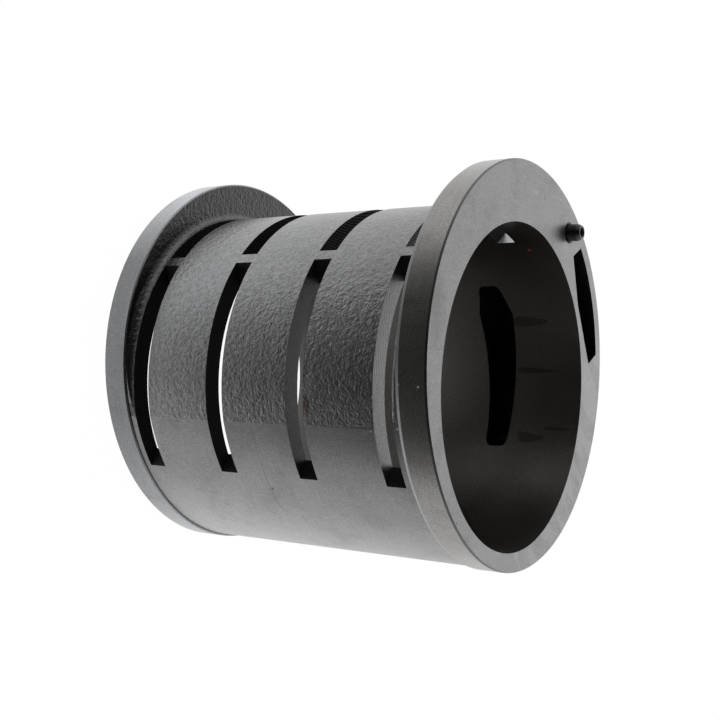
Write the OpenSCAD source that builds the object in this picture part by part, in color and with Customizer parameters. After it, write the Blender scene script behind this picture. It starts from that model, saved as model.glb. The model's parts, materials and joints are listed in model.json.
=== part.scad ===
// Flanged cylinder of a sliding-vane air motor, with its dowel pin.
// It stands on its far flange. The origin is on the flange axis, in the far end face.
// The bore is eccentric: the rotor turns about the flange axis and the vanes sweep the bore.

/* [Flanges] */
// Diameter of both flanges
flange_d = 180; // [179.4:0.1:190]
// Length over the two end faces
length = 167.4; // [160:0.1:200]
// Thickness of the far flange
far_flange_t = 12.6; // [9:0.1:14]
// Thickness of the near flange
near_flange_t = 13.8; // [13:0.1:15]
// Chamfer at both end faces
end_chamfer = 0.7; // [0.3:0.05:1.5]
// Chamfer behind the rim of the far flange
far_back_chamfer = 0.55; // [0.2:0.05:0.6]
// Length along the axis of the bevel behind the rim of the near flange
near_back_bevel = 1.75; // [0.8:0.05:3]

/* [Bore and barrel] */
// Diameter of the bore
bore_d = 143; // [138:0.1:145]
// Distance from the flange axis to the bore axis
bore_offset = 11.25; // [8:0.05:12]
// Direction of the bore axis from the flange axis, in degrees
bore_angle = -34.6; // [-40:0.1:-30]
// Wall of the cast barrel round the bore
barrel_wall = 9; // [7:0.1:10]
// Diameter that the body is turned to between the flanges
turned_d = 178; // [177:0.1:179]
// Cast fillet between the barrel and each flange
barrel_fillet_r = 3.7; // [1:0.1:6]

/* [Exhaust slots] */
// Slots in a row along the axis
slot_columns = 4; // [1:1:4]
// Slots side by side round the barrel
slot_rows = 2; // [1:1:2]
// Width of a slot
slot_w = 8.9; // [5:0.1:9.4]
// Height of the first slot's middle above the far end face
slot_first_z = 20.2; // [20:0.1:24]
// Distance from one slot to the next along the axis
slot_pitch = 42.2; // [30:0.1:42.4]
// Direction of the first row of slots, from the bore axis
slot_angle = -95; // [-97:0.1:-88]
// Turn from the first row of slots to the second
slot_row_step = -75.6; // [-78:0.1:-75]
// Diameter of the disc cutter that sinks each slot
slot_cutter_d = 208.6; // [160:0.1:260]
// How far the cutter passes through the wall of the bore
slot_overrun = 17.6; // [10:0.1:18.5]

/* [Inlet chest] */
// Direction that the chest faces, from the flange axis
chest_angle = 116; // [114:0.1:118]
// Wall at the back of the chest, under the turned surface
chest_back_wall = 5.4; // [3:0.1:7]
// Wall between the bore and the chest
chest_bore_wall = 4.5; // [3:0.1:6]
// Wall at each side of the chest
chest_side_wall = 5.2; // [3:0.1:6]
// Reach of the chest's hollow to the dowel's side
chest_reach_up = 25.5; // [24.9:0.1:27]
// Reach of the chest's hollow to the other side
chest_reach_down = 63; // [60:0.1:66]
// Floor between the far flange's face and the chest's hollow
chest_floor = 6; // [3:0.1:10]
// Cast fillet where the chest's sides meet the barrel
chest_fillet_r = 6; // [2:0.1:10]

/* [Inlet window in the near flange] */
// Reach of the window to the dowel's side
window_reach_up = 24.8; // [20:0.1:25.4]
// Reach of the window to the other side
window_reach_down = 30.8; // [20:0.1:40]
// Distance of the window's inner edge from the flange axis, at the dowel's end
window_inner_up = 69.2; // [68:0.1:74]
// Distance of the window's inner edge from the flange axis, at its kink
window_inner_kink = 65.6; // [64:0.1:70]
// Distance of the window's inner edge from the flange axis, at the other end
window_inner_down = 66.9; // [64:0.1:72]
// Place of the kink across the window
window_kink_at = -1.1; // [-10:0.1:10]
// Radius in the window's inner corners
window_corner_r = 1.2; // [0.4:0.1:3]

/* [Inlet ports] */
// Direction of the ports' middle, from the bore axis
port_angle = 98.5; // [96:0.1:101]
// Distance from the ports' middle to each end, across
port_reach = 40; // [20:0.1:42]
// Width of a port at the end nearest the dowel
port_w_up = 11.6; // [8:0.1:18]
// Width of a port at its widest, where its sides bend
port_w_bend = 18; // [12:0.1:20]
// Place of that bend, from the ports' middle towards the dowel
port_bend_at = 25; // [0:0.1:32]
// Width of a port at its other end
port_w_down = 11.4; // [8:0.1:18]
// Radius in the corners of a port
port_corner_r = 3.4; // [1:0.1:3.9]

/* [Dowel pin] */
// Diameter of the dowel's free end
pin_d = 8; // [7.9:0.1:8.4]
// Diameter of the dowel's shank, in its hole
pin_shank_d = 7.6; // [6:0.1:7.7]
// Length of the dowel
pin_l = 17.6; // [14:0.1:18]
// How far the dowel stands out of the near flange
pin_out = 6.3; // [6:0.1:9]
// How far the full diameter of the free end reaches below the flange's face
pin_free_below = 0.6; // [0.3:0.1:0.9]
// Distance from the rim of the flange to the dowel's axis
pin_from_rim = 12; // [9:0.1:13]
// Direction of the dowel from the flange axis
pin_angle = 144; // [143.5:0.1:150]
// Length of the chamfer on the dowel's tip
pin_tip_chamfer_l = 1.8; // [0.5:0.1:3]
// Diameter of the flat at the dowel's tip
pin_tip_d = 6.2; // [5.8:0.1:7]
// Diameter of the mouth of the puller thread
pin_mouth_d = 5.5; // [4.4:0.1:5.7]
// Diameter of the puller thread's hole
pin_thread_d = 4.2; // [2:0.1:4.3]
// Depth of the puller thread's hole
pin_thread_depth = 12; // [5:0.1:13]
// Chamfer at the dowel's seated end
pin_end_chamfer = 0.8; // [0.2:0.1:1.5]
// Clearance of the dowel in its hole, on the radius
pin_clearance = 0.02; // [0.01:0.01:0.1]
// Gap left under the dowel
pin_bottom_gap = 0.5; // [0.2:0.1:0.6]
// Diameter of the countersink round the dowel
pin_sink_d = 10.3; // [9.6:0.1:12]

/* [Hidden] */
$fn = 180;
far_color = [0.52, 0.52, 0.53];
pin_color = [0.09, 0.09, 0.1];
// How far a cut passes the surface that it opens
past = 1;
// Flats in a rounded corner of a cored opening
corner_steps = 8;

flange_r = flange_d / 2;
turned_r = turned_d / 2;
bore_r = bore_d / 2;
barrel_r = bore_r + barrel_wall;
bore_at = bore_offset * [cos(bore_angle), sin(bore_angle)];
near_back_z = length - near_flange_t;
slot_cutter_r = slot_cutter_d / 2;
slot_cutter_at = bore_r - slot_overrun + slot_cutter_r;
chest_outer_r = turned_r - chest_back_wall;
chest_inner_r = bore_r + chest_bore_wall;
// The chest is drawn in its own axes: x across it, y outwards through its back
chest_turn = chest_angle - 90;
bore_from_chest = turn(bore_at, -chest_turn);
chest_side_up = -chest_reach_up - chest_side_wall;
chest_side_down = chest_reach_down + chest_side_wall;
pin_shank_r = pin_shank_d / 2;
pin_hole_r = pin_shank_r + pin_clearance;
pin_hole_depth = pin_l - pin_out + pin_bottom_gap;
pin_sink_depth = pin_sink_d / 2 - pin_hole_r;
pin_r = pin_d / 2;
pin_mouth_depth = (pin_mouth_d - pin_thread_d) / 2;

// A point turned about the origin
function turn(p, a) = [p.x * cos(a) - p.y * sin(a), p.x * sin(a) + p.y * cos(a)];

// Half of the chord at a distance across a circle
function half_chord(r, across) = sqrt(r * r - across * across);

function slot_z(i) = slot_first_z + i * slot_pitch;

// Outward normal of the edge from a to b, on an outline that runs anticlockwise
function outward(a, b) = let (d = b - a) [d.y, -d.x] / norm(d);

// Convex outline with its corners rounded, given the arcs' centres anticlockwise
module round_cornered(centres, r) {
    n = len(centres);
    polygon([
        for (i = [0 : n - 1])
            let (
                into = outward(centres[(i + n - 1) % n], centres[i]),
                out = outward(centres[i], centres[(i + 1) % n]),
                start = atan2(into.y, into.x),
                sweep = acos(into * out)
            )
                for (k = [0 : corner_steps])
                    let (a = start + sweep * k / corner_steps) centres[i] + r * [cos(a), sin(a)]
    ]);
}

module flange_rim(bottom_z, top_z, bottom_cut, top_cut) {
    // Each cut is [inwards, along the axis]
    rotate_extrude() polygon([
        [0, bottom_z],
        [flange_r - bottom_cut[0], bottom_z],
        [flange_r, bottom_z + bottom_cut[1]],
        [flange_r, top_z - top_cut[1]],
        [flange_r - top_cut[0], top_z],
        [0, top_z]
    ]);
}

module far_flange() {
    flange_rim(0, far_flange_t, [end_chamfer, end_chamfer], [far_back_chamfer, far_back_chamfer]);
}

module near_flange() {
    flange_rim(
        near_back_z, length, [flange_r - turned_r, near_back_bevel], [end_chamfer, end_chamfer]
    );
}

// Barrel wall with its cast fillets, about the bore axis
module barrel() {
    translate(bore_at) rotate_extrude() difference() {
        translate([0, far_flange_t - past])
            square([barrel_r + barrel_fillet_r, near_back_z - far_flange_t + 2 * past]);
        translate([barrel_r, far_flange_t + barrel_fillet_r])
            square([barrel_fillet_r + past, near_back_z - far_flange_t - 2 * barrel_fillet_r]);
        for (z = [far_flange_t + barrel_fillet_r, near_back_z - barrel_fillet_r])
            translate([barrel_r + barrel_fillet_r, z]) circle(barrel_fillet_r);
    }
}

// Cast fillet in the corner between the barrel and one side of the chest; way is -1 or 1
module chest_fillet(side, way) {
    centre_x = side + way * chest_fillet_r;
    across = centre_x - bore_from_chest.x;
    centre = [centre_x, bore_from_chest.y + half_chord(barrel_r + chest_fillet_r, across)];
    root = bore_from_chest + (centre - bore_from_chest) * barrel_r / (barrel_r + chest_fillet_r);
    corner = [side, bore_from_chest.y + half_chord(barrel_r, side - bore_from_chest.x)];
    difference() {
        polygon([
            root, centre, [side, centre.y], [side - way * past, centre.y],
            corner - [way * past, past], bore_from_chest + (root - bore_from_chest) * (1 - past / barrel_r)
        ]);
        translate(centre) circle(chest_fillet_r);
    }
}

module chest_shell() {
    rotate(chest_turn) translate([0, 0, far_flange_t - past])
        linear_extrude(near_back_z - far_flange_t + 2 * past) {
            translate([chest_side_up, 0]) square([chest_side_down - chest_side_up, flange_r]);
            chest_fillet(chest_side_up, -1);
            chest_fillet(chest_side_down, 1);
        }
}

module chest_hollow() {
    rotate(chest_turn) translate([0, 0, far_flange_t + chest_floor])
        linear_extrude(near_back_z - far_flange_t - chest_floor) intersection() {
            difference() {
                circle(chest_outer_r);
                translate(bore_from_chest) circle(chest_inner_r);
            }
            translate([-chest_reach_up, 0]) square([chest_reach_up + chest_reach_down, flange_r]);
        }
}

module window() {
    r = window_corner_r;
    rotate(chest_turn) translate([0, 0, near_back_z - past])
        linear_extrude(near_flange_t + 2 * past) intersection() {
            circle(chest_outer_r);
            round_cornered([
                [-window_reach_up + r, flange_r],
                [-window_reach_up + r, window_inner_up + r],
                [window_kink_at, window_inner_kink + r],
                [window_reach_down - r, window_inner_down + r],
                [window_reach_down - r, flange_r]
            ], r);
        }
}

// A port is cored straight through the wall between the bore and the chest
module port() {
    r = port_corner_r;
    rise = port_w_up / 2 - r;
    bend = port_w_bend / 2 - r;
    fall = port_w_down / 2 - r;
    translate(bore_at) rotate([90, 0, port_angle + 90])
        linear_extrude(chest_inner_r + past) round_cornered([
            [-port_reach + r, -fall], [port_bend_at, -bend], [port_reach - r, -rise],
            [port_reach - r, rise], [port_bend_at, bend], [-port_reach + r, fall]
        ], r);
}

module slot(angle) {
    translate(bore_at + slot_cutter_at * [cos(angle), sin(angle)])
        translate([0, 0, -slot_w / 2]) cylinder(r = slot_cutter_r, h = slot_w);
}

module at_pin() {
    rotate(pin_angle) translate([flange_r - pin_from_rim, 0, length]) children();
}

module pin_hole() {
    at_pin() {
        translate([0, 0, -pin_hole_depth]) cylinder(r = pin_hole_r, h = pin_hole_depth + past);
        translate([0, 0, -pin_sink_depth])
            cylinder(r1 = pin_hole_r, r2 = pin_sink_d / 2 + past, h = pin_sink_depth + past);
    }
}

module cylinder_casting() {
    intersection() {
        union() {
            barrel();
            chest_shell();
        }
        translate([0, 0, far_flange_t - past])
            cylinder(r = turned_r, h = near_back_z - far_flange_t + 2 * past);
    }
    far_flange();
    near_flange();
}

module engine_cylinder() {
    color(far_color) difference() {
        cylinder_casting();
        translate([bore_at.x, bore_at.y, -past]) cylinder(r = bore_r, h = length + 2 * past);
        chest_hollow();
        window();
        for (i = [0 : slot_columns - 2])
            translate([0, 0, (slot_z(i) + slot_z(i + 1)) / 2]) port();
        for (i = [0 : slot_columns - 1], j = [0 : slot_rows - 1])
            translate([0, 0, slot_z(i)]) slot(slot_angle + j * slot_row_step);
        pin_hole();
    }
}

module dowel_pin() {
    color(pin_color) at_pin() rotate_extrude() polygon([
        [0, pin_out - pin_l],
        [pin_shank_r - pin_end_chamfer, pin_out - pin_l],
        [pin_shank_r, pin_out - pin_l + pin_end_chamfer],
        [pin_shank_r, -pin_sink_depth],
        [pin_r, -pin_free_below],
        [pin_r, pin_out - pin_tip_chamfer_l],
        [pin_tip_d / 2, pin_out],
        [pin_mouth_d / 2, pin_out],
        [pin_thread_d / 2, pin_out - pin_mouth_depth],
        [pin_thread_d / 2, pin_out - pin_thread_depth],
        [0, pin_out - pin_thread_depth]
    ]);
}

engine_cylinder();  // cylinder
dowel_pin();
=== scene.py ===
import json
import math
from types import SimpleNamespace

import bpy
from mathutils import Matrix, Vector


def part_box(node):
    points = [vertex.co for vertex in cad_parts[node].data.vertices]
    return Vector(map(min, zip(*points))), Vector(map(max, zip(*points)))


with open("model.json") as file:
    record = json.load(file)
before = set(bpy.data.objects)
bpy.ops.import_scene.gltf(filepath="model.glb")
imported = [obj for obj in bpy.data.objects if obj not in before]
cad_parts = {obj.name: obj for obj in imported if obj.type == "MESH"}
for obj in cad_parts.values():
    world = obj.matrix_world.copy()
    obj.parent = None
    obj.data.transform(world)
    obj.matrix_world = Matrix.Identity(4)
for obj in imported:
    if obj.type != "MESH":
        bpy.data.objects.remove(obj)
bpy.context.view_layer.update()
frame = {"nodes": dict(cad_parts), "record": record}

# Sizes of the casting in millimetres, as its materials count
MOUNTS = {m["name"]: m for m in frame["record"]["mounts"]}
TO_MM = 1000
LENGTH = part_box("cylinder")[1].z * TO_MM
MIDDLE_Z = LENGTH / 2
BORE_X, BORE_Y = [MOUNTS["bore"]["pos_m"][i] * TO_MM for i in (0, 1)]
BORE_R = MOUNTS["bore"]["dims"]["r_mm"]
RIM_R = MOUNTS["near_rim"]["dims"]["r_mm"]
BARREL_WALL = 9
BARREL_R = BORE_R + BARREL_WALL
RIM_STEP = 1
TURNED_R = RIM_R - RIM_STEP
FAR_FACE_Z = 12.6
NEAR_BACK_Z = LENGTH - 13.8
CHEST_WALL = 5.4
CHEST_R = TURNED_R - CHEST_WALL
CHEST_Y = 30.0
DOWEL_X, DOWEL_Y = [MOUNTS["dowel"]["pos_m"][i] * TO_MM for i in (0, 1)]
DOWEL_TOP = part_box("dowel_pin")[1].z * TO_MM
THREAD_R = 2.3
THREAD_PITCH = 0.8
THREAD_DEPTH = 0.12
LIP_FROM = DOWEL_TOP - 0.08

# Limits of the zones: most lie a little off the surface that they take in or leave out
FACE_FROM = MIDDLE_Z - 0.3
EDGE_FROM = MIDDLE_Z - 1.5
EDGE_R = RIM_R - 1.2
RIM_FROM = RIM_R - 0.75
SKIN_R = (TURNED_R - 0.4, RIM_R - 0.8)
BORE_SLACK = 0.1
BARREL_SLACK = 0.5
WALL_R = (BORE_R - BORE_SLACK, BARREL_R - 0.04)
OUTSIDE_FROM = BARREL_R - 0.06
CHEST_BORE_R = (BORE_R + 0.2, 110.0)
CHEST_TO = CHEST_R + 0.05
MILLED_Z = (FAR_FACE_Z + 0.3, NEAR_BACK_Z - 0.3)
CAST_Z = (FAR_FACE_Z - 0.08, NEAR_BACK_Z + 0.08)
FAR_FLANGE_TO = 20.0
NEAR_FLANGE_FROM = 100.0
UPPER_ROW_PAST = 2.4
UPPER_ROW_BEFORE = -2.35
# The wavy line where the turned surface ends in the cast barrel: its waves, level place and slope
SKIM_WAVES = 0.3
SKIM_LEVEL_Z = 60.0
SKIM_SLOPE = 0.0008

# Camera of the photograph: it looks down on the slots, with the flange axis across the picture
CAMERA_AT = Vector((0, -0.46035, 0.3725))
CAMERA_FORWARD = Vector((0.00963, 0.81907, -0.57362))
CAMERA_UP = Vector((-0.99977, -0.00324, -0.02141))
CAMERA_LENS = 56.5
CAMERA_SHIFT = (0.0744, 0.0179)

# Paper under the object, in metres: its light grows away from the camera and to both sides
PAPER_SIZE = 8
PAPER_GREY = (0.8, 0.8, 0.8, 1)
PAPER_BRIGHT_Y = -0.094
PAPER_SIDES = 0.22
PAPER_RISE = 16.0
PAPER_LEAST = 0.02
# Painted shadow: in reflections the paper's light is dimmer in the round spot under the casting
PAPER_SHADOW_IN_BORE_R = 0.075
PAPER_SHADOW_IN_BORE = (0.04, PAPER_SHADOW_IN_BORE_R, 0.12, 0.7)
PAPER_SEEN = 1.07
PAPER_GLOW = 0.92

# Light of the sky by direction: start and end of each change, and the levels there
SKY_BEHIND = (-0.4, 0.3, 0.03, 1.0)
SKY_SIDES = (0.4, 0.95, 0.0, 1.0)
SKY_ABOVE = (0.5, 0.74, 1.0, 0.25)

# Colours of bare iron, as reflected, with some greys that are painted light or shade, as said at each
FACE_GREY = (0.30, 0.30, 0.302, 1)
RIM_GREY = (0.28, 0.274, 0.264, 1)
# The far rim's grey: cooler than the near rim's, and darker as painted shade
FAR_RIM_SHADE_GREY = (0.225, 0.229, 0.235, 1)
TURNED_GREY = (0.30, 0.302, 0.306, 1)
CAST_GREY = (0.30, 0.303, 0.309, 1)
BORE_GREY = (0.225, 0.213, 0.202, 1)
SLOT_GREY = (0.31, 0.308, 0.314, 1)
# Painted dark reflection on the chamfers of the flanges
EDGE_SHADE_GREY = (0.11, 0.11, 0.11, 1)
# Painted shade in the slots
SLOT_SHADE = (0.02, 0.02, 0.02, 1)
# A dark grey: painted shade in the corner of the barrel by the far flange, and the rubbed strokes on the
# rim
DARK_MARK_AND_SHADE_GREY = (0.07, 0.068, 0.066, 1)
# Painted shade in the hollow of the chest
HOLLOW_SHADE_GREY = (0.05, 0.047, 0.045, 1)
STAIN = (0.17, 0.165, 0.155, 1)
RUST = (0.17, 0.085, 0.05, 1)
# Painted highlight for the top of the far rim
FAR_RIM_HIGHLIGHT = (0.62, 0.655, 0.7, 1)
PALE = (0.42, 0.426, 0.434, 1)
PIT = (0.02, 0.02, 0.02, 1)
SPECK = (0.5, 0.5, 0.5, 1)
RED = (0.8, 0.05, 0.04, 1)
NOT_METAL = (SPECK, RED)
OXIDE = (0.004, 0.004, 0.005, 1)
WORN_OXIDE = (0.011, 0.011, 0.013, 1)
LIP_GREY = (0.42, 0.42, 0.43, 1)

# Roughness where no zone lies, its change with two noises, and each zone's own, a later over an earlier
BASE_ROUGH = 0.38
ROUGH_CLOUDS = 0.15
ROUGH_GRAIN = 0.06
# The slot walls in painted shade get a roughness of 0.9
ZONE_ROUGH = {"face": 0.42, "rim": 0.30, "turned": 0.40, "bore": 0.33, "milled": 0.5, "sooty": 0.9,
              "cast": 0.36}
# The oil film on the casting, then the dowel's oxide, its grain and its worn lip
COAT = 0.6
COAT_ROUGH = 0.32
DOWEL_IOR = 1.5
DOWEL_ROUGH = (-0.3, 0.3, 0.28, 0.42)
DOWEL_GRAIN = (3.0, 3.0, 0.6)
DOWEL_GRAIN_HEIGHT = 0.01
LIP_WORN = (-0.25, 0.1, 0.3, 1.0)
LIP_SHARE = 0.9
LIP_METAL = 0.8

# Noises over the whole casting: cells in a millimetre, detail, roughness and distortion
NOISES = {
    "grain": (1.6, 3.0, 0.6),
    "sand": (2.4, 1.0, 0.5),
    "clouds": (0.055, 4.0, 0.55),
    "blots": (0.22, 3.0, 0.6),
    "lumps": (0.5, 1.0, 0.5, 0.3),
    "grains": (1.25, 0.0),
}
# Noises drawn out one way: a factor along each axis of their own coordinates, then the same
SCRATCHES = ((0.04, 1.1, 0.06), 1.0, 2.0, 0.5, 0.3)
TURNING = ((5.0, 0.0, 2.2), 1.0, 4.0, 0.7)
STREAKS = ((0.55, 0.12, 0.3), 0.5, 3.0, 0.6)
FINE = ((1.5, 0.1, 0.0), 1.0, 2.0, 0.6)
WIPED = ((0.075, 0.018, 4.0), 1.0, 1.0, 0.4)

# From a noise to a share or a level: start and end, and the shares or levels there
SCRATCHED = (0.16, 0.24)
SCRATCH_STRENGTH = 0.3
STAINED = (0.03, 0.2, 0.0, 0.28)
TURNED_STAINED = (0.0, 0.25, 0.0, 0.35)
STREAKED = (0.05, 0.2, 0.0, 0.3)
FINE_STREAKED = (0.1, 0.22, 0.0, 0.35)
WIPED_EDGE = (0.0, 0.02)
WIPED_ALONG = (20, 70, 0.0, 0.4)
GRAIN_LEVEL = (-0.3, 0.3, 0.93, 1.07)
SAND_LEVEL = (-0.18, 0.18, 0.72, 1.28)
# Painted shade and highlight of the cast relief: its hollows darker, its tops lighter
RELIEF_SHADE_LEVEL = (-0.2, 0.2, 0.8, 1.1)
GRAINS_SHADE_LEVEL = (-0.25, 0.25, 0.9, 1.1)
TURNING_LEVEL = (-0.3, 0.3, 0.82, 1.15)
LOWER_LINES = (-1.0, 1.0, 0.84, 1.08)
UPPER_LINES = (-0.5, 1.0, 0.5)
# Painted light on the cutter lines of the upper slot walls: their level grows towards the near flange and
# is highest off the open side
LINES_PAINTED_LIGHT_ALONG = (60, 100, 0.35, 1.0)
LINES_PAINTED_LIGHT_OPEN = (0.0, 0.5, 2.6, 1.3)

# Normals of the zones, as the cosine of the angle to a zone's own direction
FLAT = 0.99
ROUND = 0.97
FACING = 0.9
CHAMFER = (0.3, 0.96)

# Painted light and shade by place: start and end, and the levels there. Angles are in radians, the rest in
# mm
# Painted highlight on the far rim by its turn: full before -2.65 rad, and a weaker one from -1.3 rad on
FAR_RIM_HIGHLIGHT_TURN = [(-2.65, -2.1, 1.0, 0.0), (-1.3, -0.6, 0.0, 0.4)]
# Painted glint on the near flange's back chamfer, fading in between a turn of -1.6 and -1.15 rad
BACK_EDGE_GLINT_TURN = (-1.6, -1.15)
# Shares of painted shade in the slots: lower slot walls towards both ends and towards the far flange, upper
# slot walls less on the open side, and the end faces of the lower slots
WALL_SHADE_UP = (-36, -33, 0.93, 0.0)
WALL_SHADE_DOWN = (40, 42.5, 0.0, 0.9)
WALL_SHADE_ALONG = (64, 125, 0.88, 0.0)
UPPER_WALL_SHADE = (0.92, 0.5)
END_SHADE = 0.85
OPEN_ALONG = (110, 140)
OPEN_ACROSS = (-40, -15, 1.0, 0.0)
# Painted shade on the cast surface in the corner by the far flange, with ragged edges
FAR_CORNER_SHADE_ALONG = (FAR_FACE_Z, FAR_FACE_Z + 24, 0.85, -0.3)
FAR_CORNER_SHADE_RAGGED = 0.5
# Painted shade: the outer surface darkens towards the near flange, and everything towards the far flange
OUTER_SHADE_ALONG = (50, 145, 1.0, 0.74)
FAR_END_SHADE = (8, 20, 0.82, 1.0)
LOW_START = (math.radians(-125), math.radians(-105))
LOW_END = (math.radians(-62), math.radians(-48), 1.0, 0.0)
# Painted shade and light on the low band about the bore: darker towards the far flange, lighter towards the
# near one
LOW_SHADE_AND_LIGHT_ALONG = (30, 130, 0.78, 1.12)
LOW_CAST_LIGHT_ALONG = (60, 130, 1.0, 1.3)
# Painted light on the lower side of the turned surface, rising between a turn of -55 and -30 degrees
UNDERSIDE = (math.radians(-55), math.radians(-30))
UNDERSIDE_LIGHT_LEVEL = 1.28
# Painted light on the bore, lighter towards its sides
BORE_MIDDLE_X = -8.0
BORE_SIDES_LIGHT = (45, 75, 1.0, 1.55)

# Relief in millimetres
LUMP_HEIGHT = 0.32
GRAINS_HEIGHT = 0.12
CUTTER_HEIGHT = 0.03
TURNING_HEIGHT = 0.03
MILLED_HEIGHT = 0.02
GRAIN_HEIGHT = 0.008
FLANGE_SKIN = (12.7, 14, 0.9, 1.0)

# Middles of the slot cutter for the two rows, from the bore axis, and the step between its marks
CUTTER_AWAY = 158.2
CUTTER_TURNS = [math.radians(degrees) for degrees in (-95, -168)]
CUTTERS = [[CUTTER_AWAY * math.cos(turn), CUTTER_AWAY * math.sin(turn), 0] for turn in CUTTER_TURNS]
CUTTER_FEEDS = (1.25, 1.3)
CUTTER_DRIFT = 4.0

# Small marks seen in the photograph: place in millimetres, radius and colour
MARKS = [
    ((54.8, -70.1, 82.6), 0.55, PIT),
    ((-9.1, -76.7, 142.4), 0.35, PIT),
    ((2.7, -89.9, 158.5), 0.7, STAIN),
    ((62.3, -62.7, 167.4), 0.4, PIT),
    ((50.7, 71.1, 167.4), 0.4, PIT),
    ((26.6, -84.9, 140.7), 0.45, SPECK),
    ((7.9, -89.6, 155.5), 0.35, SPECK),
    ((8.6, -89.6, 164.0), 0.55, SPECK),
    ((72.4, 27.2, 130.3), 0.35, SPECK),
    ((80.4, 0.3, 153.2), 0.35, SPECK),
    ((-53.7, 27.5, 155.7), 0.7, RED),
]
MARK_CORE = 0.7
MARK_END = 1.1
# Dark smears on the bore: angle about its axis in degrees, height, half width and half height in mm
SMEARS = [(116.0, 143, 4.6, 10), (95.8, 144, 2.4, 12), (68.8, 143.5, 4.4, 7.5), (72.9, 157, 1.3, 8)]
SMEAR_NARROWING = (-1.0, 1.0, 0.8, 2.6)
SMEAR_FADE = (0.8, 1.0, 0.5, 0.0)
SMEAR_RAGGED = 0.6
# Larger spots: their middle, and how fast they end along each axis
RUST_AT = (18.0, -86.4, 110.9)
RUST_PER_MM = (0.22, 0.22, 0.75)
RUST_FADE = (0.5, 1.3, 0.9, 0.0)
RUST_PATCHES = (-0.15, 0.12, 0.35, 1.0)
DULL_AT = (-24.0, -82.0, LENGTH)
DULL_PER_MM = (0.05, 0.14, 0.2)
DULL_FADE = (0.3, 1.1, 0.5, 0.0)
DULL_RAGGED = 3.0
DULL_SANDY = 0.5
RUBBED_AT = (-24.0, -86.7, 159.5)
RUBBED_PER_MM = (0.5, 0.2, 0.18)
RUBBED_FADE = (0.5, 1.1, 0.75, 0.0)
RUBBED_STROKES = (0.2, 0.9)
RUBBED_RAGGED = 1.2
STROKES_ACROSS = 5.5
STROKES_ALONG = 0.8
STROKES_DRIFT = 30.0
SCRIBE_Z = 81.6
SCRIBE_HALF = 0.12
SCRIBE_TURN = (-1.25, -0.35)
SCRIBE_STRENGTH = 0.55


def make_camera():
    data = bpy.data.cameras.new("camera")
    camera = bpy.data.objects.new("camera", data)
    bpy.context.scene.collection.objects.link(camera)
    back = -CAMERA_FORWARD.normalized()
    right = CAMERA_UP.cross(back).normalized()
    up = back.cross(right)
    turn = Matrix((right, up, back)).transposed()
    camera.matrix_world = Matrix.Translation(CAMERA_AT) @ turn.to_4x4()
    data.sensor_width = 36
    data.lens = CAMERA_LENS
    data.shift_x, data.shift_y = CAMERA_SHIFT
    data.clip_start = 0.01
    bpy.context.scene.camera = camera


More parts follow.
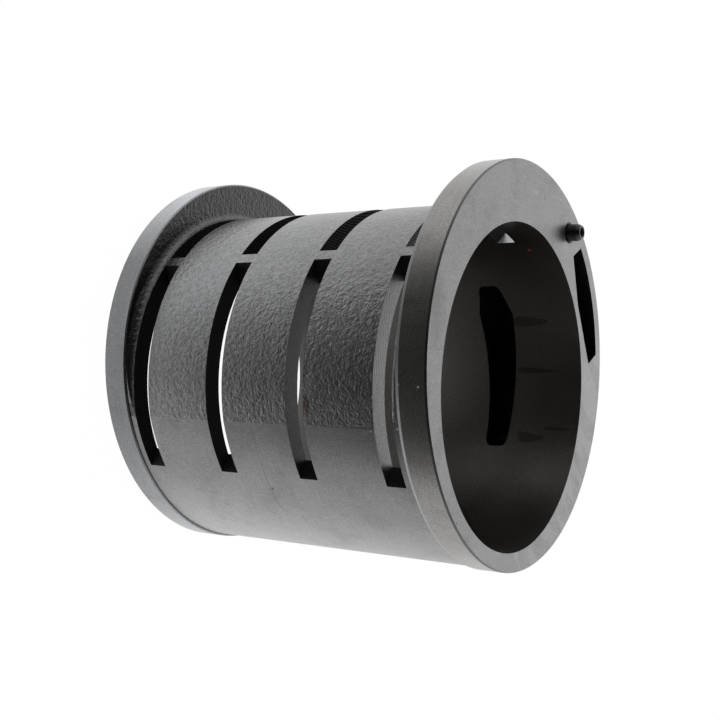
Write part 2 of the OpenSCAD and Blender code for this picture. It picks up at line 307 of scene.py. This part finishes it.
class Graph:
    """Short calls that add shader nodes to one material or world."""

    def __init__(self, tree):
        self.tree = tree
        tree.nodes.clear()

    def node(self, kind, inputs=(), **settings):
        made = self.tree.nodes.new(kind)
        for name, value in settings.items():
            setattr(made, name, value)
        for key, value in dict(inputs).items():
            self.put(made.inputs[key], value)
        return made

    def put(self, socket, value):
        if isinstance(value, bpy.types.NodeSocket):
            self.tree.links.new(value, socket)
        else:
            socket.default_value = value

    def math(self, operation, *values):
        made = self.node("ShaderNodeMath", operation=operation)
        for socket, value in zip(made.inputs, values):
            self.put(socket, value)
        return made.outputs[0]

    def chain(self, operation, values):
        total = values[0]
        for value in values[1:]:
            total = self.math(operation, total, value)
        return total

    def sum(self, *values):
        return self.chain("ADD", values)

    def all(self, *values):
        return self.chain("MULTIPLY", values)

    def most(self, *values):
        return self.chain("MAXIMUM", values)

    def minus(self, a, b):
        return self.math("SUBTRACT", a, b)

    def absolute(self, value):
        return self.math("ABSOLUTE", value)

    def above(self, value, limit):
        return self.math("GREATER_THAN", value, limit)

    def below(self, value, limit):
        return self.math("LESS_THAN", value, limit)

    def between(self, value, low, high):
        return self.all(self.above(value, low), self.below(value, high))

    def other(self, mask):
        return self.minus(1.0, mask)

    def vector(self, operation, *values, out=0):
        made = self.node("ShaderNodeVectorMath", operation=operation)
        for socket, value in zip(made.inputs, values):
            self.put(socket, value)
        return made.outputs[out]

    def length(self, value):
        return self.vector("LENGTH", value, out=1)

    def dot(self, a, b):
        return self.vector("DOT_PRODUCT", a, b, out=1)

    def join(self, x, y, z):
        return self.node("ShaderNodeCombineXYZ", {0: x, 1: y, 2: z}).outputs[0]

    def split(self, value):
        return self.node("ShaderNodeSeparateXYZ", {0: value}).outputs

    def ramp(self, value, low, high, to_low=0.0, to_high=1.0, smooth=False):
        keys = {0: value, 1: low, 2: high, 3: to_low, 4: to_high}
        kind = "SMOOTHSTEP" if smooth else "LINEAR"
        return self.node("ShaderNodeMapRange", keys, interpolation_type=kind, clamp=True).outputs[0]

    def mix(self, factor, a, b):
        made = self.node("ShaderNodeMix", data_type="RGBA", clamp_factor=True)
        self.put(made.inputs[0], factor)
        self.put(made.inputs[6], a)
        self.put(made.inputs[7], b)
        return made.outputs[2]

    def blend(self, factor, a, b):
        made = self.node("ShaderNodeMix", data_type="FLOAT", clamp_factor=True)
        self.put(made.inputs[0], factor)
        self.put(made.inputs[2], a)
        self.put(made.inputs[3], b)
        return made.outputs[0]

    def noise(self, coords, scale, detail=2.0, roughness=0.5, distortion=0.0):
        """Noise from about -0.5 to 0.5; scale is its cells in each unit of the coordinates."""
        keys = {"Vector": coords, "Scale": scale, "Detail": detail, "Roughness": roughness,
                "Distortion": distortion}
        return self.minus(self.node("ShaderNodeTexNoise", keys).outputs[0], 0.5)

    def drawn_out(self, coords, factors, *keys):
        return self.noise(self.vector("MULTIPLY", coords, factors), *keys)

    def bump(self, height):
        """Normal of a relief whose height is in millimetres."""
        keys = {"Strength": 1.0, "Distance": 1 / TO_MM, "Height": height}
        return self.node("ShaderNodeBump", keys).outputs[0]


def start_material(name):
    material = bpy.data.materials.new(name)
    material.use_nodes = True
    return material, Graph(material.node_tree)


def make_floor():
    bpy.ops.mesh.primitive_plane_add(size=PAPER_SIZE)
    floor = bpy.context.object
    floor.name = "floor"
    material, g = start_material("floor")
    x, y = g.split(g.node("ShaderNodeTexCoord").outputs["Object"])[:2]
    path = g.node("ShaderNodeLightPath")
    camera = path.outputs["Is Camera Ray"]
    seen = g.most(camera, path.outputs["Is Glossy Ray"], path.outputs["Is Transmission Ray"])
    behind = g.sum(y, g.all(g.absolute(x), PAPER_SIDES), -PAPER_BRIGHT_Y)
    level = g.sum(g.math("EXPONENT", g.all(behind, PAPER_RISE)), PAPER_LEAST)
    level = g.math("MINIMUM", level, 1.0)
    middle = g.length(g.join(x, y, 0.0))
    # Painted shadow on the paper under the casting, seen in reflections
    level = g.blend(g.below(middle, PAPER_SHADOW_IN_BORE_R), level, g.ramp(middle, *PAPER_SHADOW_IN_BORE))
    level = g.blend(camera, level, PAPER_SEEN)
    paper = g.node("ShaderNodeBsdfDiffuse", {"Color": PAPER_GREY})
    glow = g.node("ShaderNodeEmission", {"Color": (1, 1, 1, 1), "Strength": level})
    keys = {0: g.all(seen, PAPER_GLOW), 1: paper.outputs[0], 2: glow.outputs[0]}
    shade = g.node("ShaderNodeMixShader", keys)
    g.node("ShaderNodeOutputMaterial", {"Surface": shade.outputs[0]})
    floor.data.materials.append(material)


def make_world():
    world = bpy.data.worlds.new("studio")
    bpy.context.scene.world = world
    world.use_nodes = True
    g = Graph(world.node_tree)
    x, y, z = g.split(g.node("ShaderNodeTexCoord").outputs["Generated"])
    level = g.most(g.ramp(y, *SKY_BEHIND, smooth=True), g.ramp(g.absolute(x), *SKY_SIDES, smooth=True))
    level = g.all(level, g.ramp(z, *SKY_ABOVE, smooth=True))
    level = g.most(level, g.node("ShaderNodeLightPath").outputs["Is Camera Ray"])
    back = g.node("ShaderNodeBackground", {"Color": (1, 1, 1, 1), "Strength": level})
    g.node("ShaderNodeOutputWorld", {"Surface": back.outputs[0]})


def casting_places(g):
    """Coordinates in millimetres, radii and angles about the flanges' axis and the bore's."""
    coords = g.node("ShaderNodeTexCoord")
    normal = coords.outputs["Normal"]
    at = SimpleNamespace()
    at.place = g.vector("MULTIPLY", coords.outputs["Object"], (TO_MM, TO_MM, TO_MM))
    at.x, at.y, at.z = g.split(at.place)
    flat = g.join(at.x, at.y, 0.0)
    at.r = g.length(flat)
    at.turn = g.math("ARCTAN2", at.y, at.x)
    at.to_bore = g.vector("SUBTRACT", flat, (BORE_X, BORE_Y, 0))
    at.bore_r = g.length(at.to_bore)
    bore_x, bore_y = g.split(at.to_bore)[:2]
    at.bore_turn = g.math("ARCTAN2", bore_y, bore_x)
    at.upright = g.absolute(g.split(normal)[2])
    at.outward = g.math("DIVIDE", g.dot(normal, flat), at.r)
    at.bore_outward = g.math("DIVIDE", g.dot(normal, at.to_bore), at.bore_r)
    # The upper row of slots lies across the turn where the angle jumps from pi to -pi
    at.upper_row = g.most(g.above(at.bore_turn, UPPER_ROW_PAST), g.below(at.bore_turn, UPPER_ROW_BEFORE))
    return at


def casting_noises(g, at):
    """Noises shared by the zones, with the marks of the lathe and of the slot cutter."""
    noise = SimpleNamespace()
    for name, keys in NOISES.items():
        setattr(noise, name, g.noise(at.place, *keys))
    slant = g.join(g.sum(at.x, at.z), g.minus(at.x, at.z), at.y)
    noise.scratches = g.ramp(g.drawn_out(slant, *SCRATCHES), *SCRATCHED)
    noise.turning = g.drawn_out(g.join(at.turn, 0.0, at.z), *TURNING)
    passes = []
    for middle, feed in zip(CUTTERS, CUTTER_FEEDS):
        passes.append(g.all(g.length(g.vector("SUBTRACT", at.to_bore, middle)), 2 * math.pi / feed))
    passes = g.sum(g.blend(at.upper_row, *passes), g.all(noise.clouds, CUTTER_DRIFT))
    noise.cutter = g.math("SINE", passes)
    return noise


def casting_zones(g, at, noise):
    """Zones of the surface by place and normal: 0 or 1, or a share where a zone fades out."""
    zone = SimpleNamespace()
    end_z = g.absolute(g.minus(at.z, MIDDLE_Z))
    zone.face = g.all(g.above(at.upright, FLAT), g.above(end_z, FACE_FROM))
    zone.rim = g.all(g.above(at.outward, FACING), g.above(at.r, RIM_FROM))
    chamfer = g.all(g.between(at.upright, *CHAMFER), g.above(at.r, EDGE_R))
    zone.edge = g.all(chamfer, g.above(end_z, EDGE_FROM))
    zone.back_edge = g.all(chamfer, g.other(zone.edge), g.above(at.z, NEAR_FLANGE_FROM))
    waves = g.all(g.minus(SKIM_LEVEL_Z, at.z), SKIM_SLOPE)
    waves = g.sum(g.all(noise.lumps, SKIM_WAVES), waves)
    past_barrel = g.sum(g.minus(at.bore_r, at.r), TURNED_R - BARREL_R, waves)
    on_barrel = g.below(at.bore_r, BARREL_R + BARREL_SLACK)
    skimmed = g.most(g.other(on_barrel), g.below(past_barrel, 0.0))
    skin = g.all(g.above(at.outward, ROUND), g.between(at.r, *SKIN_R))
    zone.turned = g.all(skin, skimmed)
    zone.bore = g.all(g.below(at.bore_r, BORE_R + BORE_SLACK), g.below(at.bore_outward, -FACING))
    at_barrel = g.between(at.bore_r, BARREL_R - BARREL_SLACK, BARREL_R + BARREL_SLACK)
    barrel = g.all(g.above(at.bore_outward, ROUND), at_barrel)
    in_wall = g.all(g.between(at.bore_r, *WALL_R), g.other(g.most(zone.bore, skin, barrel)))
    zone.milled = g.all(in_wall, g.between(at.z, *MILLED_Z))
    in_chest = g.between(at.bore_r, *CHEST_BORE_R)
    zone.chest = g.all(g.above(at.y, CHEST_Y), in_chest, g.below(at.r, CHEST_TO))
    outside = g.all(g.above(at.bore_r, OUTSIDE_FROM), g.below(at.r, SKIN_R[1]))
    outside = g.most(outside, skin, barrel, zone.chest)
    zone.cast = g.all(g.between(at.z, *CAST_Z), outside, g.other(zone.turned))
    zone.low = g.all(g.ramp(at.bore_turn, *LOW_START), g.ramp(at.bore_turn, *LOW_END))
    zone.open_side = g.all(g.ramp(at.z, *OPEN_ALONG), g.ramp(at.y, *OPEN_ACROSS))
    zone.walls = g.above(at.upright, FACING)
    zone.ends = g.below(at.upright, FACING)
    # Painted shade in the slots: the share of the dark grey on their walls and end faces
    lower_walls = g.most(g.ramp(at.x, *WALL_SHADE_UP), g.ramp(at.x, *WALL_SHADE_DOWN))
    lower_walls = g.most(lower_walls, g.ramp(at.z, *WALL_SHADE_ALONG))
    upper_walls = g.blend(zone.open_side, *UPPER_WALL_SHADE)
    shade_share = g.all(zone.walls, g.blend(at.upper_row, lower_walls, upper_walls))
    shade_share = g.sum(g.all(zone.ends, g.other(at.upper_row), END_SHADE), shade_share)
    zone.sooty = g.all(zone.milled, shade_share)
    return zone


def zone_colors(g, at, noise, zone):
    """Colour of each zone, a later one over an earlier one."""
    color = g.mix(zone.face, SLOT_GREY, FACE_GREY)
    color = g.mix(zone.rim, color, RIM_GREY)
    # Painted highlight and shade on the far rim: its darker grey turns into a highlight by the turn
    rim_highlight = g.sum(*[g.ramp(at.turn, *change) for change in FAR_RIM_HIGHLIGHT_TURN])
    far_rim = g.all(zone.rim, g.below(at.z, FAR_FLANGE_TO))
    color = g.mix(far_rim, color, g.mix(rim_highlight, FAR_RIM_SHADE_GREY, FAR_RIM_HIGHLIGHT))
    color = g.mix(zone.turned, color, TURNED_GREY)
    color = g.mix(zone.bore, color, BORE_GREY)
    # Painted shade in the slots
    color = g.mix(zone.sooty, color, SLOT_SHADE)
    # Painted light: the end faces of the upper slots are pale
    color = g.mix(g.all(zone.milled, at.upper_row, zone.ends), color, PALE)
    # Painted dark reflection: the chamfers are darkened
    color = g.mix(zone.edge, color, EDGE_SHADE_GREY)
    color = g.mix(zone.back_edge, color, EDGE_SHADE_GREY)
    # Painted glint: part of the back chamfer is made pale
    color = g.mix(g.all(zone.back_edge, g.ramp(at.turn, *BACK_EDGE_GLINT_TURN)), color, PALE)
    color = g.mix(zone.cast, color, CAST_GREY)
    # Painted shade in the corner by the far flange
    scale = g.sum(g.ramp(at.z, *FAR_CORNER_SHADE_ALONG), g.all(noise.lumps, FAR_CORNER_SHADE_RAGGED))
    color = g.mix(g.all(zone.cast, g.most(scale, 0.0)), color, DARK_MARK_AND_SHADE_GREY)
    # Painted shade in the hollow of the chest
    hollow_shade = g.all(zone.chest, g.other(g.most(zone.face, zone.bore)))
    return g.mix(hollow_shade, color, HOLLOW_SHADE_GREY)


def add_stains(g, at, noise, zone, color):
    """Stains, pale streaks and scratches of the machined surfaces."""
    ground = g.most(zone.face, zone.rim)
    stains = g.ramp(g.sum(noise.clouds, g.all(noise.blots, 0.4)), *STAINED)
    color = g.mix(g.all(stains, ground), color, STAIN)
    streaks = g.ramp(g.drawn_out(at.place, *STREAKS), *STREAKED)
    color = g.mix(g.all(streaks, zone.face), color, PALE)
    along = g.sum(at.x, at.y)
    slant = g.join(g.minus(at.x, at.y), along, 1.0)
    fine = g.ramp(g.drawn_out(slant, *FINE), *FINE_STREAKED)
    color = g.mix(g.all(fine, zone.face), color, PALE)
    wiped = g.all(g.ramp(g.drawn_out(slant, *WIPED), *WIPED_EDGE), g.ramp(along, *WIPED_ALONG))
    color = g.mix(g.all(wiped, zone.face), color, PALE)
    scratches = g.all(noise.scratches, g.most(zone.turned, ground), SCRATCH_STRENGTH)
    color = g.mix(scratches, color, PALE)
    stains = g.ramp(g.sum(noise.clouds, g.all(noise.blots, 0.5)), *TURNED_STAINED)
    return g.mix(g.all(zone.turned, stains), color, STAIN)


def casting_level(g, at, noise, zone):
    """Painted light and shade of the relief and by place, with the light and dark of the cutting marks, as
    a factor of the colour.
    """
    outer = g.most(zone.cast, zone.turned)
    grain = g.all(g.ramp(noise.grain, *GRAIN_LEVEL), g.ramp(noise.sand, *SAND_LEVEL))
    # Painted shade and highlight of the cast relief, from the same noises as its bumps
    relief_shade = g.ramp(g.sum(noise.lumps, g.all(noise.grains, 0.4)), *RELIEF_SHADE_LEVEL)
    grains_shade = g.ramp(noise.grains, *GRAINS_SHADE_LEVEL)
    # Painted light on the lower side of the turned surface
    underside_light = g.ramp(at.turn, *UNDERSIDE, smooth=True)
    underside_light = g.all(zone.turned, underside_light, g.below(at.turn, 0.0))
    # Painted light on the cutter lines of the upper slot walls
    lines_painted_light = g.all(g.ramp(at.z, *LINES_PAINTED_LIGHT_ALONG), g.ramp(zone.open_side, *LINES_PAINTED_LIGHT_OPEN))
    upper_lines = g.ramp(noise.cutter, *UPPER_LINES, lines_painted_light)
    lower_lines = g.ramp(noise.cutter, *LOWER_LINES)
    cutter_lines = g.blend(g.all(at.upper_row, zone.walls), lower_lines, upper_lines)
    # Painted light on the bore, lighter towards its sides
    bore_side_light = g.ramp(g.absolute(g.sum(at.x, -BORE_MIDDLE_X)), *BORE_SIDES_LIGHT)
    return g.all(
        g.blend(zone.cast, grain, g.all(relief_shade, grains_shade)),
        # Painted shade towards the near flange on the outer surface, and towards the far flange everywhere
        g.blend(outer, 1.0, g.ramp(at.z, *OUTER_SHADE_ALONG)),
        g.ramp(at.z, *FAR_END_SHADE),
        # Painted shade and light on the low band: darker towards the far flange, lighter towards the near
        # one
        g.blend(g.all(zone.low, outer), 1.0, g.ramp(at.z, *LOW_SHADE_AND_LIGHT_ALONG)),
        g.blend(g.all(zone.low, zone.cast), 1.0, g.ramp(at.z, *LOW_CAST_LIGHT_ALONG)),
        g.blend(underside_light, 1.0, UNDERSIDE_LIGHT_LEVEL),
        g.blend(g.most(zone.rim, zone.turned), 1.0, g.ramp(noise.turning, *TURNING_LEVEL)),
        g.blend(zone.milled, 1.0, cutter_lines),
        g.blend(zone.bore, 1.0, bore_side_light),
    )


def spot_distance(g, at, middle, per_mm):
    """Distance from the middle of a spot, in its own units on each axis."""
    return g.length(g.vector("MULTIPLY", g.vector("SUBTRACT", at.place, middle), per_mm))


def add_spots(g, at, noise, zone, color):
    """The rust spot, the dull patch on the face and the rubbed strokes on the rim."""
    rust = g.ramp(spot_distance(g, at, RUST_AT, RUST_PER_MM), *RUST_FADE)
    color = g.mix(g.all(rust, g.ramp(noise.lumps, *RUST_PATCHES)), color, RUST)
    dull = spot_distance(g, at, DULL_AT, DULL_PER_MM)
    dull = g.sum(dull, g.all(noise.blots, DULL_RAGGED), g.all(noise.sand, DULL_SANDY))
    color = g.mix(g.all(g.ramp(dull, *DULL_FADE), zone.face), color, STAIN)
    rubbed = g.sum(spot_distance(g, at, RUBBED_AT, RUBBED_PER_MM), g.all(noise.lumps, RUBBED_RAGGED))
    strokes = g.sum(g.all(at.x, STROKES_ACROSS), g.all(noise.clouds, STROKES_DRIFT))
    strokes = g.math("SINE", g.sum(strokes, g.all(at.z, STROKES_ALONG)))
    strokes = g.all(g.ramp(strokes, *RUBBED_STROKES), g.ramp(rubbed, *RUBBED_FADE))
    return g.mix(g.all(strokes, zone.rim), color, DARK_MARK_AND_SHADE_GREY)


def add_smears(g, at, noise, zone, color):
    """Dark smears on the bore, which narrow towards the near flange."""
    for degrees, height, half_width, half_height in SMEARS:
        across = g.all(g.minus(at.bore_turn, math.radians(degrees)), BORE_R / half_width)
        along = g.math("DIVIDE", g.minus(at.z, height), half_height)
        across = g.all(across, g.ramp(along, *SMEAR_NARROWING))
        smear = g.sum(g.length(g.join(across, along, 0.0)), g.all(noise.blots, SMEAR_RAGGED))
        color = g.mix(g.all(g.ramp(smear, *SMEAR_FADE), zone.bore), color, PIT)
    return color


def add_marks(g, at, zone, color):
    """Pits, specks and the scribed line. It also gives the mask of the marks that aren't metal."""
    painted = 0.0
    for middle, radius, mark in MARKS:
        away = g.length(g.vector("SUBTRACT", at.place, middle))
        spot = g.ramp(away, radius * MARK_CORE, radius * MARK_END, 1.0, 0.0)
        color = g.mix(spot, color, mark)
        painted = g.most(painted, g.all(spot, float(mark in NOT_METAL)))
    scribe = g.between(at.z, SCRIBE_Z - SCRIBE_HALF, SCRIBE_Z + SCRIBE_HALF)
    scribe = g.all(scribe, zone.turned, g.between(at.turn, *SCRIBE_TURN), SCRIBE_STRENGTH)
    return g.mix(scribe, color, PIT), painted


def casting_roughness(g, noise, zone):
    rough = BASE_ROUGH
    for name, value in ZONE_ROUGH.items():
        rough = g.blend(getattr(zone, name), rough, value)
    return g.sum(rough, g.all(noise.clouds, ROUGH_CLOUDS), g.all(noise.grain, ROUGH_GRAIN))


def casting_height(g, at, noise, zone):
    """Relief in millimetres: sandy skin, marks of the cutter and of the lathe, and fine grain."""
    skin = g.sum(g.all(noise.lumps, LUMP_HEIGHT), g.all(noise.grains, GRAINS_HEIGHT))
    skin = g.all(zone.cast, skin, g.ramp(at.z, *FLANGE_SKIN))
    cuts = g.sum(g.all(noise.cutter, CUTTER_HEIGHT), g.all(noise.grain, MILLED_HEIGHT))
    rings = g.all(g.most(zone.rim, zone.turned), noise.turning, TURNING_HEIGHT)
    return g.sum(skin, g.all(zone.milled, cuts), rings, g.all(noise.grain, GRAIN_HEIGHT))


def make_casting_material():
    material, g = start_material("casting")
    at = casting_places(g)
    noise = casting_noises(g, at)
    zone = casting_zones(g, at, noise)
    color = add_stains(g, at, noise, zone, zone_colors(g, at, noise, zone))
    level = casting_level(g, at, noise, zone)
    color = g.vector("MULTIPLY", color, g.join(level, level, level))
    color = add_spots(g, at, noise, zone, color)
    color = add_smears(g, at, noise, zone, color)
    color, painted = add_marks(g, at, zone, color)
    bump = g.bump(casting_height(g, at, noise, zone))
    keys = {"Base Color": color, "Metallic": g.other(painted), "Normal": bump,
            "Roughness": casting_roughness(g, noise, zone),
            # The slot walls in painted shade get no coat
            "Coat Weight": g.all(g.other(zone.sooty), COAT), "Coat Roughness": COAT_ROUGH,
            "Coat Normal": bump}
    shader = g.node("ShaderNodeBsdfPrincipled", keys)
    g.node("ShaderNodeOutputMaterial", {"Surface": shader.outputs[0]})
    return material


def make_dowel_material():
    material, g = start_material("dowel")
    place = g.vector("MULTIPLY", g.node("ShaderNodeTexCoord").outputs["Object"], (TO_MM, TO_MM, TO_MM))
    x, y, z = g.split(place)
    r = g.length(g.join(g.sum(x, -DOWEL_X), g.sum(y, -DOWEL_Y), 0.0))
    grain = g.noise(place, *DOWEL_GRAIN)
    lip = g.all(g.above(z, LIP_FROM), g.ramp(grain, *LIP_WORN))
    color = g.mix(g.ramp(grain, -0.3, 0.3), OXIDE, WORN_OXIDE)
    color = g.mix(g.all(lip, LIP_SHARE), color, LIP_GREY)
    thread = g.all(THREAD_DEPTH, g.below(r, THREAD_R), g.math("SINE", g.all(z, 2 * math.pi / THREAD_PITCH)))
    rough = g.ramp(grain, *DOWEL_ROUGH)
    keys = {"Base Color": color, "Metallic": g.all(lip, LIP_METAL), "Roughness": rough, "IOR": DOWEL_IOR,
            "Normal": g.bump(g.sum(thread, g.all(grain, DOWEL_GRAIN_HEIGHT)))}
    shader = g.node("ShaderNodeBsdfPrincipled", keys)
    g.node("ShaderNodeOutputMaterial", {"Surface": shader.outputs[0]})
    return material


make_camera()
make_floor()
make_world()
frame["nodes"]["cylinder"].material_slots[0].material = make_casting_material()
frame["nodes"]["dowel_pin"].material_slots[0].material = make_dowel_material()

bpy.context.scene.view_settings.view_transform = "Standard"
